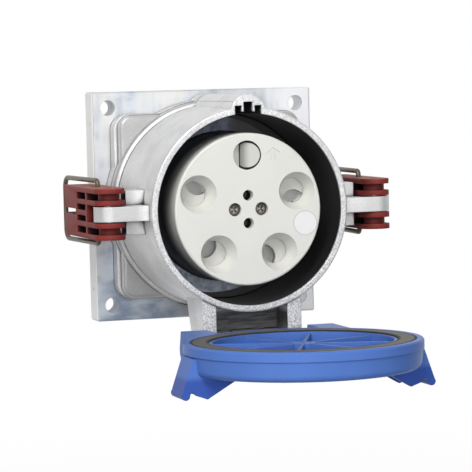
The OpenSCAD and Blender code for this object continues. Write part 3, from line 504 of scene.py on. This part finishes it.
def collar_plastic():
    """Mottled blue-grey collar: lit below and shaded above as painted light and shade, greyer and darker
    to the right as painted shade, and painted black as shade outside a round middle.
    """
    finish = Finish("collar")
    mottle = finish.grain(4, 4)
    across, _, height = finish.axes()
    fleck = finish.ramp(mottle, 0.35, 0.65)
    # Painted light and shade: lighter below, darker above
    up = finish.ramp(height, *COLLAR_UPWARD)
    upper = finish.tint(fleck, (0.075, 0.095, 0.15), (0.18, 0.22, 0.30))
    lower = finish.tint(fleck, (0.26, 0.31, 0.40), (0.55, 0.61, 0.72))
    left = finish.tint(up, lower, upper)
    # Painted shade: the right side is greyer and darker
    right = finish.tint(up, (0.24, 0.235, 0.24), (0.05, 0.046, 0.05))
    worn = finish.tint(finish.ramp(across, *COLLAR_GREY), left, right)
    # Painted shade: black outside a round middle
    outside = finish.ramp(finish.off_axis(COLLAR_RING, (1, 0, 1)), *COLLAR_RING_EDGE)
    return finish.surface(
        Base_Color=finish.tint(outside, worn, (0.004, 0.004, 0.005)),
        Roughness=0.4,
        Normal=finish.bump(mottle, 0.1, 0.3),
    )


def insert_plastic(name="insert_plastic", alone=False, shade=1.0, foot=None):
    """Warm light moulding with a fine grain and painted shade in its gaps; shade below 1 gives a darker
    copy, as painted shade, and foot is where painted shade turns it black.
    """
    finish = Finish(name)
    flow = finish.grain(30, 2)
    grain = finish.grain(0.5, 2)
    # A shade below 1 gives a darker copy, as painted shade
    dull, clear = scaled((0.635, 0.635, 0.592), shade), scaled((0.692, 0.692, 0.65), shade)
    skin = finish.tint(flow, dull, clear)
    # Painted shade: deeper in, the piece turns black
    if foot:
        _, depth, _ = finish.axes()
        skin = finish.tint(finish.ramp(depth, *foot), skin, BLACK)
    return finish.surface(
        # Painted shade in gaps and corners
        Base_Color=finish.tint(finish.cavity(3.0, 0.18, 0.58, alone), (0.02, 0.02, 0.02), skin),
        Roughness=0.42 + 0.1 * grain,
        Normal=finish.bump(grain, 0.03, 0.3, finish.edges(0.5)),
    )


def plug_plastic():
    """Blanking plug: painted shadow towards its flat side, painted black as shade round its edge."""
    finish = Finish("plug_plastic")
    grain = finish.grain(0.5, 2)
    across, _, _ = finish.axes()
    low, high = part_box("blanking_plug")
    radius = (high.z - low.z) / 2
    off = finish.off_axis((high.x - radius, 0, (high.z + low.z) / 2), (1, 0, 1))
    # Painted shade: black round the edge
    edge = finish.ramp(off, radius - PLUG_EDGE, radius - PLUG_EDGE / 2)
    # Painted shadow towards the flat side
    shadow = finish.ramp(across, low.x + PLUG_SHADOW, low.x)
    skin = finish.tint(shadow, (0.50, 0.50, 0.465), (0.17, 0.17, 0.158))
    return finish.surface(
        Base_Color=finish.tint(edge, skin, BLACK),
        Roughness=0.42 + 0.1 * grain,
        Normal=finish.bump(grain, 0.03, 0.3, finish.edges(0.5)),
    )


def carrier_plastic():
    """Grey moulding behind the insert."""
    finish = Finish("carrier_plastic")
    grain = finish.grain(0.8, 2)
    return finish.surface(
        Base_Color=finish.tint(grain, (0.40, 0.40, 0.38), (0.48, 0.48, 0.46)),
        Roughness=0.5,
        Normal=finish.bump(grain, 0.03, 0.3),
    )


def contact_plating(name="contact_plating", shade=1.0):
    """Turned and silver-plated: fine rings, pale grey lifted further as painted light deep in the
    contacts;
    shade below 1 gives a darker copy, as painted shade.
    """
    finish = Finish(name)
    turning = finish.grain(0.6, 2, stretch=(0.2, 1, 0.2))
    # Pale tones lifted as painted light; a shade below 1 darkens a copy as painted shade
    dull, clear = scaled((0.92, 0.92, 0.90), shade), scaled((0.97, 0.97, 0.95), shade)
    return finish.surface(
        Base_Color=finish.tint(turning, dull, clear),
        Metallic=0.1,
        Roughness=0.4 + 0.15 * turning,
        Normal=finish.bump(turning, 0.02, 0.3),
    )


def plated_steel():
    """Bright plated steel of the pins, screws and bolts."""
    finish = Finish("steel")
    wear = finish.grain(1.5, 3)
    return finish.surface(
        Base_Color=finish.tint(wear, (0.42, 0.42, 0.42), (0.66, 0.66, 0.66)),
        Metallic=1.0,
        Roughness=0.26 + 0.14 * wear,
        Normal=finish.bump(wear, 0.02, 0.3),
    )


def burnished_steel():
    """Face screws: bright round the cross recess, with painted shade towards the edge and the top,
    and in the recess.
    """
    finish = Finish("burnished_steel")
    wear = finish.grain(1.2, 3)
    across, _, height = finish.axes()
    low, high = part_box("face_screws")
    radius = (high.z - low.z) / 2
    beside = abs(across) - (high.x - radius)
    off = across.math("SQRT", beside * beside + height * height)
    # Painted shade on the edge and the top of each head
    edge = finish.ramp(off, *scaled(SCREW_EDGE, radius))
    top = finish.ramp(height, *scaled(SCREW_TOP, radius))
    bright = finish.tint(wear, (0.20, 0.185, 0.16), (0.55, 0.515, 0.46))
    # Painted shade over the steel's tone
    film = finish.tint((0.86 * edge).or_more(0.92 * top), bright, (0.012, 0.010, 0.008))
    return finish.surface(
        # Painted shade in the cross recess
        Base_Color=finish.tint(finish.cavity(1.5, 0.35, 0.9), (0.008, 0.007, 0.006), film),
        Metallic=0.5,
        Roughness=0.34 + 0.14 * wear,
        Normal=finish.bump(wear, 0.03, 0.4),
    )


def sticker_film():
    """Bare white film with a grey cut edge."""
    finish = Finish("sticker")
    ripple = finish.grain(6, 2)
    low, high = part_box("sticker")
    off = finish.off_axis((low + high) / 2, (1, 0, 1))
    radius = (high.x - low.x) / 2
    rim = finish.ramp(off, *(radius - inside for inside in STICKER_RIM))
    film = finish.tint(ripple, (0.72, 0.72, 0.715), (0.76, 0.76, 0.755))
    return finish.surface(
        Base_Color=finish.tint(rim, film, (0.52, 0.52, 0.52)),
        Roughness=0.3,
        Normal=finish.bump(ripple, 0.05, 0.2),
    )


def lever_plastic():
    """Brick-red moulding, with painted light on top, painted shade in its windows and a painted shadow
    where the barrel shades it.
    """
    finish = Finish("lever_plastic")
    flow = finish.grain(14, 3)
    grain = finish.grain(0.5, 2)
    across, _, height = finish.axes()
    skin = finish.tint(flow, (0.165, 0.022, 0.019), (0.235, 0.038, 0.032))
    # Painted light: the top faces are lighter
    painted_top_light = finish.tint(finish.ramp(height, *LEVER_TOP_LIGHT), skin, (0.30, 0.105, 0.085))
    # Painted shadow of the barrel on the right lever
    shadow = finish.ramp(across, *LEVER_RIGHT) * finish.ramp(across, *LEVER_SHADOW)
    shady = finish.tint(0.6 * shadow, painted_top_light, (0.02, 0.003, 0.003))
    return finish.surface(
        # Painted shade in the windows and corners
        Base_Color=finish.tint(finish.cavity(14, 0.30, 0.92), (0.012, 0.003, 0.003), shady),
        Roughness=0.46 + 0.12 * grain,
        Specular_IOR_Level=0.12,
        Normal=finish.bump(grain, 0.04, 0.4),
    )


def zinc_wire():
    """Yellow-passivated wire, drawn along its length."""
    finish = Finish("zinc_wire")
    film = finish.grain(5, 3)
    scratch = finish.grain(0.5, 2, stretch=(1, 0.1, 1))
    return finish.surface(
        Base_Color=finish.tint(film, (0.07, 0.055, 0.035), (0.15, 0.125, 0.085)),
        Metallic=0.6,
        Roughness=0.30 + 0.15 * scratch,
        Normal=finish.bump(scratch, 0.02, 0.3),
    )


def lid_plastic():
    """Blue moulding with a satin skin, with painted shade in its corners and on its catches."""
    finish = Finish("lid_plastic")
    flow = finish.grain(40, 2)
    grain = finish.grain(0.6, 2)
    _, _, height = finish.axes()
    face = finish.tint(flow, (0.072, 0.152, 0.460), (0.094, 0.197, 0.540))
    # Painted shade on the catches
    skin = finish.tint(finish.ramp(height, *LID_CATCHES), face, (0.040, 0.092, 0.37))
    return finish.surface(
        # Painted shade in corners
        Base_Color=finish.tint(finish.cavity(4, 0.25, 0.62), (0.022, 0.060, 0.22), skin),
        Roughness=0.28 + 0.1 * grain,
        Specular_IOR_Level=0.05,
        Normal=finish.bump(grain, 0.03, 0.25, finish.edges(0.9)),
    )


def lid_rubber():
    """Dull rubber ring with a dark groove along each edge."""
    finish = Finish("lid_gasket")
    skin = finish.grain(2, 3)
    low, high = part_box("lid_gasket")
    track = (high.x - low.x - GASKET_WIDTH) / 2
    off = finish.off_axis((low + high) / 2, (1, 1, 0)) - track
    edge = finish.ramp(abs(off), *GASKET_GROOVE)
    face = finish.tint(skin, (0.040, 0.037, 0.030), (0.085, 0.079, 0.064))
    return finish.surface(
        Base_Color=finish.tint(edge, face, (0.006, 0.006, 0.007)),
        Roughness=0.55 + 0.2 * edge,
        Normal=finish.bump(skin - edge, 0.25, 0.4),
    )


FINISHES = {
    "milled_aluminium": milled_aluminium(),
    "cast_aluminium": cast_aluminium(),
    "base_gasket": base_rubber(),
    "black_plastic": black_plastic(),
    "collar": collar_plastic(),
    "carrier_plastic": carrier_plastic(),
    "insert_plastic": insert_plastic(),
    "contact_plating": contact_plating(),
    "steel": plated_steel(),
    "sticker": sticker_film(),
    "lever_plastic": lever_plastic(),
    "zinc_wire": zinc_wire(),
    "lid_plastic": lid_plastic(),
    "lid_gasket": lid_rubber(),
}

# The finish of each solid; five have a version of their own, and so do the contact tips
WORN = {part["node"]: part["material_slot"] for part in frame["record"]["subparts"]}
OWN_FINISH = {
    "face_screws": burnished_steel(),
    # A much darker copy for the pilot contacts, as painted shade
    "pilot_contacts": contact_plating("pilot_plating", shade=0.12),
    # A darker copy for the recessed shutter, as painted shade
    "shutter": insert_plastic("shutter_plastic", alone=True, shade=0.85),
    # The sleeve turns black deeper in, as painted shade
    "insert_sleeve": insert_plastic("sleeve_plastic", foot=SLEEVE_PAINTED_SHADE),
    "blanking_plug": plug_plastic(),
}
# A darker copy for the contact tips, as painted shade
TIP_PLATING = contact_plating("tip_plating", shade=0.48)
for name, finish_name in WORN.items():
    mesh = nodes[name].data
    mesh.materials.clear()
    mesh.materials.append(OWN_FINISH.get(name, FINISHES[finish_name]))


def stand_for(piece, body, node):
    """The piece rides on the body and hides the solid."""
    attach(piece, body)
    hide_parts(node)


def round_lever(lever):
    """Copy of a lever with its loose triangles merged and its edges rounded; it stands for the solid."""
    mesh = nodes[lever].data.copy()
    shell = bmesh.new()
    shell.from_mesh(mesh)
    bmesh.ops.remove_doubles(shell, verts=shell.verts, dist=MERGE_DISTANCE)
    bmesh.ops.dissolve_limit(
        shell,
        angle_limit=math.radians(FLAT_DEGREES),
        verts=shell.verts,
        edges=shell.edges,
        delimit={"NORMAL"},
    )
    shell.to_mesh(mesh)
    shell.free()
    mesh.shade_smooth()
    piece = bpy.data.objects.new(lever + "_moulded", mesh)
    scene.collection.objects.link(piece)
    bevel = piece.modifiers.new("edges", "BEVEL")
    bevel.width = LEVER_EDGE
    bevel.segments = EDGE_STEPS
    bevel.limit_method = "ANGLE"
    bevel.angle_limit = math.radians(SHARP_DEGREES)
    bevel.use_clamp_overlap = True
    bevel.harden_normals = True
    evaluated = piece.evaluated_get(bpy.context.evaluated_depsgraph_get())
    plain = bpy.data.meshes.new_from_object(evaluated)
    piece.modifiers.clear()
    piece.data = plain
    stand_for(piece, lever, lever)


def line_mesh(name, points, bends=None):
    """An open row of points joined by edges, with the radius of the bend at each."""
    mesh = bpy.data.meshes.new(name)
    mesh.from_pydata(points, [(i, i + 1) for i in range(len(points) - 1)], [])
    if bends:
        mesh.attributes.new("bend", "FLOAT", "POINT").data.foreach_set("value", bends)
    return mesh


def swept_wire(material):
    """Tree: a round wire along the start's edges, with a rounded bend at each point."""
    former = Former("swept_wire", ["Thickness"])
    route = former.node("GeometryNodeMeshToCurve", sockets={"Mesh": former.given("Start")})
    bend = former.node("GeometryNodeInputNamedAttribute", {"data_type": "FLOAT"}, {"Name": "bend"})
    bent = former.node(
        "GeometryNodeFilletCurve", {"mode": "POLY"}, {"Curve": route, "Count": BEND_STEPS, "Radius": bend}
    )
    section = former.node(
        "GeometryNodeCurvePrimitiveCircle",
        sockets={"Resolution": WIRE_SIDES, "Radius": former.given("Thickness") * 0.5},
    )
    wire = former.node(
        "GeometryNodeCurveToMesh", sockets={"Curve": bent, "Profile Curve": section, "Fill Caps": True}
    )
    former.close(former.node("GeometryNodeSetShadeSmooth", sockets={"Geometry": wire}), material)
    return former


def bend_bails():
    """Each bail is one wire: up out of the lever, along it, across its end and back."""
    former = swept_wire(FINISHES["zinc_wire"])
    for side in ("left", "right"):
        low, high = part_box("bail_" + side)
        inset = Vector((BAIL_WIRE, BAIL_WIRE, BAIL_WIRE)) / 2
        (inner, near, _), (outer, far, top) = low + inset, high - inset
        if side == "left":
            inner, outer = outer, inner
        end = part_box("lever_" + side)[1].z - BAIL_END_DEPTH
        upper = [(inner, near, end), (inner, near, top), (outer, far, top)]
        lower = [(x, y, -z) for x, y, z in reversed(upper)]
        bends = [0, BAIL_PIVOT_BEND, BAIL_CORNER_BEND]
        start = line_mesh("bail_route", upper + lower, bends + bends[::-1])
        wire = former.make("bail_wire_" + side, start, {"Thickness": BAIL_WIRE})
        stand_for(wire, "bail_" + side, "bail_" + side)


def row_of_rings(material):
    """Tree: a ring round each of the start's points, its axis along Y."""
    former = Former("row_of_rings", ["Outside", "Inside", "Length"])
    outside, inside = former.given("Outside"), former.given("Inside")
    path = former.node(
        "GeometryNodeCurvePrimitiveCircle",
        sockets={"Resolution": BUSH_SIDES, "Radius": (outside + inside) * 0.25},
    )
    section = former.node(
        "GeometryNodeCurvePrimitiveQuadrilateral",
        sockets={"Width": (outside - inside) * 0.5, "Height": former.given("Length")},
    )
    ring = former.node("GeometryNodeCurveToMesh", sockets={"Curve": path, "Profile Curve": section})
    former.close(former.on_points(ring), material)
    return former


def point_mesh(name, points):
    """Loose points for a tree to put its forms on."""
    mesh = bpy.data.meshes.new(name)
    mesh.from_pydata(points, [], [])
    return mesh


def line_pilot_holes():
    """A black bush in each pilot hole, a little below the face and wide enough for its pin."""
    low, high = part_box("pilot_contacts")
    spread = (high.z - low.z) / 2 - (high.x - low.x) / 2
    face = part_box("insert_face")[0].y
    depth = face + BUSH_SINK + BUSH_LENGTH / 2
    former = row_of_rings(FINISHES["black_plastic"])
    start = point_mesh("pilot_places", [(0, depth, spread), (0, depth, -spread)])
    bushes = former.make(
        "pilot_bushes", start, {"Outside": BUSH_OUTSIDE, "Inside": BUSH_INSIDE, "Length": BUSH_LENGTH}
    )
    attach(bushes, "socket")


def row_of_discs(material):
    """Tree: a flat disc at each of the start's points, its axis along Y."""
    former = Former("row_of_discs", ["Width", "Thickness"])
    radius = former.given("Width") * 0.5
    disc = former.node(
        "GeometryNodeMeshCylinder",
        sockets={"Vertices": TIP_SIDES, "Radius": radius, "Depth": former.given("Thickness")},
    )
    former.close(former.on_points(disc), material)
    return former


def tip_contacts():
    """A flat tip in the mouth of each power contact, a little below its end."""
    places = []
    for contact in CONTACTS:
        low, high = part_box(contact)
        middle = (low + high) / 2
        places.append((middle.x, low.y + TIP_SINK + TIP_THICKNESS / 2, middle.z))
    former = row_of_discs(TIP_PLATING)
    tips = former.make(
        "contact_tips", point_mesh("tip_places", places), {"Width": TIP_WIDTH, "Thickness": TIP_THICKNESS}
    )
    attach(tips, "socket")


def emboss_arrow():
    """Raised chevron and two short strokes on the insert's face."""
    former = swept_wire(FINISHES["insert_plastic"])
    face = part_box("insert_face")[0].y
    for name, points in ARROW_STROKES.items():
        start = line_mesh(name, [(x * MM, face, z * MM) for x, z in points], [0] * len(points))
        stroke = former.make(name, start, {"Thickness": ARROW_WIDTH})
        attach(stroke, "socket")


def edge_the_web():
    """Lower edge of the web between the hinge ears, with its two slots."""
    left_end = [(-EAR_GAP_HALF, WEB_FRONT), (-EAR_GAP_HALF, WEB_BACK)]
    outline = left_end + [(-x, y) for x, y in reversed(left_end)]
    for middle in (WEB_SLOT_PLACE, -WEB_SLOT_PLACE):
        right, left = middle + WEB_SLOT_WIDTH / 2, middle - WEB_SLOT_WIDTH / 2
        floor = WEB_FRONT + WEB_SLOT_DEPTH
        outline += [(right, WEB_FRONT), (right, floor), (left, floor), (left, WEB_FRONT)]
    shell = bmesh.new()
    top = shell.faces.new([shell.verts.new((x, y, WEB_EDGE_TOP)) for x, y in outline])
    drawn = bmesh.ops.extrude_face_region(shell, geom=[top])
    lower = [part for part in drawn["geom"] if isinstance(part, bmesh.types.BMVert)]
    bmesh.ops.translate(shell, verts=lower, vec=(0, 0, WEB_EDGE_BOTTOM - WEB_EDGE_TOP))
    bmesh.ops.recalc_face_normals(shell, faces=shell.faces)
    mesh = bpy.data.meshes.new("web_edge")
    shell.to_mesh(mesh)
    shell.free()
    mesh.materials.append(FINISHES["cast_aluminium"])
    edge = bpy.data.objects.new("web_edge", mesh)
    scene.collection.objects.link(edge)
    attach(edge, "socket")


bend_bails()
edge_the_web()
line_pilot_holes()
tip_contacts()
emboss_arrow()
round_lever("lever_left")
round_lever("lever_right")


def place_camera():
    """The photograph's viewpoint: its axes are the rows of the three turns."""
    turns = (
        Matrix.Rotation(math.radians(CAMERA_ROLL), 3, "Y")
        @ Matrix.Rotation(math.radians(CAMERA_PITCH), 3, "X")
        @ Matrix.Rotation(math.radians(CAMERA_YAW), 3, "Z")
    )
    right, forward, up = turns
    lens = bpy.data.cameras.new("photo_view")
    lens.sensor_width = SENSOR
    lens.lens = SENSOR * FOCAL_PIXELS / IMAGE_SIZE
    camera = bpy.data.objects.new("photo_view", lens)
    camera.matrix_world = (
        Matrix.Translation(CAMERA_PLACE) @ Matrix((right, up, -forward)).transposed().to_4x4()
    )
    scene.collection.objects.link(camera)
    scene.camera = camera


def soft_light(name, place, size, watts):
    """A square soft box that faces the socket."""
    lamp = bpy.data.lights.new(name, "AREA")
    lamp.size = size
    lamp.energy = watts
    box = bpy.data.objects.new(name, lamp)
    box.location = place
    box.rotation_euler = (LIGHT_AIM - Vector(place)).to_track_quat("-Z", "Y").to_euler()
    scene.collection.objects.link(box)


def mirrored_rays(path):
    """1 for rays that come by way of metal or glass."""
    return path.other("Is Glossy Ray").or_more(path.other("Is Transmission Ray"))


def light_the_room():
    """White backdrop behind and above; the room on the camera's side is darker."""
    scene.world = bpy.data.worlds.new("studio")
    scene.world.use_nodes = True
    sky = Tree(scene.world.node_tree)
    path = sky.node("ShaderNodeLightPath", out="Is Camera Ray")
    way = sky.node("ShaderNodeTexCoord", out="Generated")
    across = sky.node("ShaderNodeSeparateXYZ", sockets={0: way})
    behind = sky.ramp(across.other("Y"), *BACKDROP_BEHIND)
    above = sky.ramp(across.other("Z"), *BACKDROP_ABOVE)
    room = ROOM + (1 - ROOM) * behind.or_more(above)
    strength = path.or_more(AMBIENT + (room - AMBIENT) * mirrored_rays(path))
    shader = sky.node("ShaderNodeBackground", sockets={"Color": (1, 1, 1, 1), "Strength": strength})
    sky.node("ShaderNodeOutputWorld", sockets={"Surface": shader})
    for name, (place, size, watts) in SOFT_BOXES.items():
        soft_light(name, place, size, watts)


def lay_floor():
    """Pale floor below the socket; straight rays see it nearly white, with a faint shadow."""
    finish = Finish("floor")
    paper = finish.grain(20, 2)
    tone = finish.tint(paper, (0.44, 0.44, 0.44), (0.46, 0.46, 0.46))
    pale = finish.node("ShaderNodeBsdfDiffuse", sockets={"Color": tone})
    white = finish.node("ShaderNodeEmission", sockets={"Color": (1, 1, 1, 1), "Strength": 1.0})
    away = finish.node("ShaderNodeVectorMath", {"operation": "LENGTH"}, {0: finish.where}, out="Value")
    cover = FLOOR_WHITE + (1 - FLOOR_WHITE) * finish.ramp(away, *FLOOR_FADE)
    _, depth, _ = finish.axes()
    path = finish.node("ShaderNodeLightPath", out="Is Camera Ray")
    shown = path.or_more(mirrored_rays(path) * finish.ramp(depth, *FLOOR_MIRRORED))
    mixed = finish.node("ShaderNodeMixShader", sockets={0: cover * shown, 1: pale, 2: white})
    finish.node("ShaderNodeOutputMaterial", sockets={"Surface": mixed})
    corners = [(-1, -1), (1, -1), (1, 1), (-1, 1)]
    mesh = bpy.data.meshes.new("floor")
    mesh.from_pydata(
        [(x * FLOOR_REACH, y * FLOOR_REACH, FLOOR_HEIGHT) for x, y in corners], [], [(0, 1, 2, 3)]
    )
    mesh.materials.append(finish.material)
    floor = bpy.data.objects.new("floor", mesh)
    scene.collection.objects.link(floor)


place_camera()
light_the_room()
lay_floor()
scene.view_settings.view_transform = "Standard"
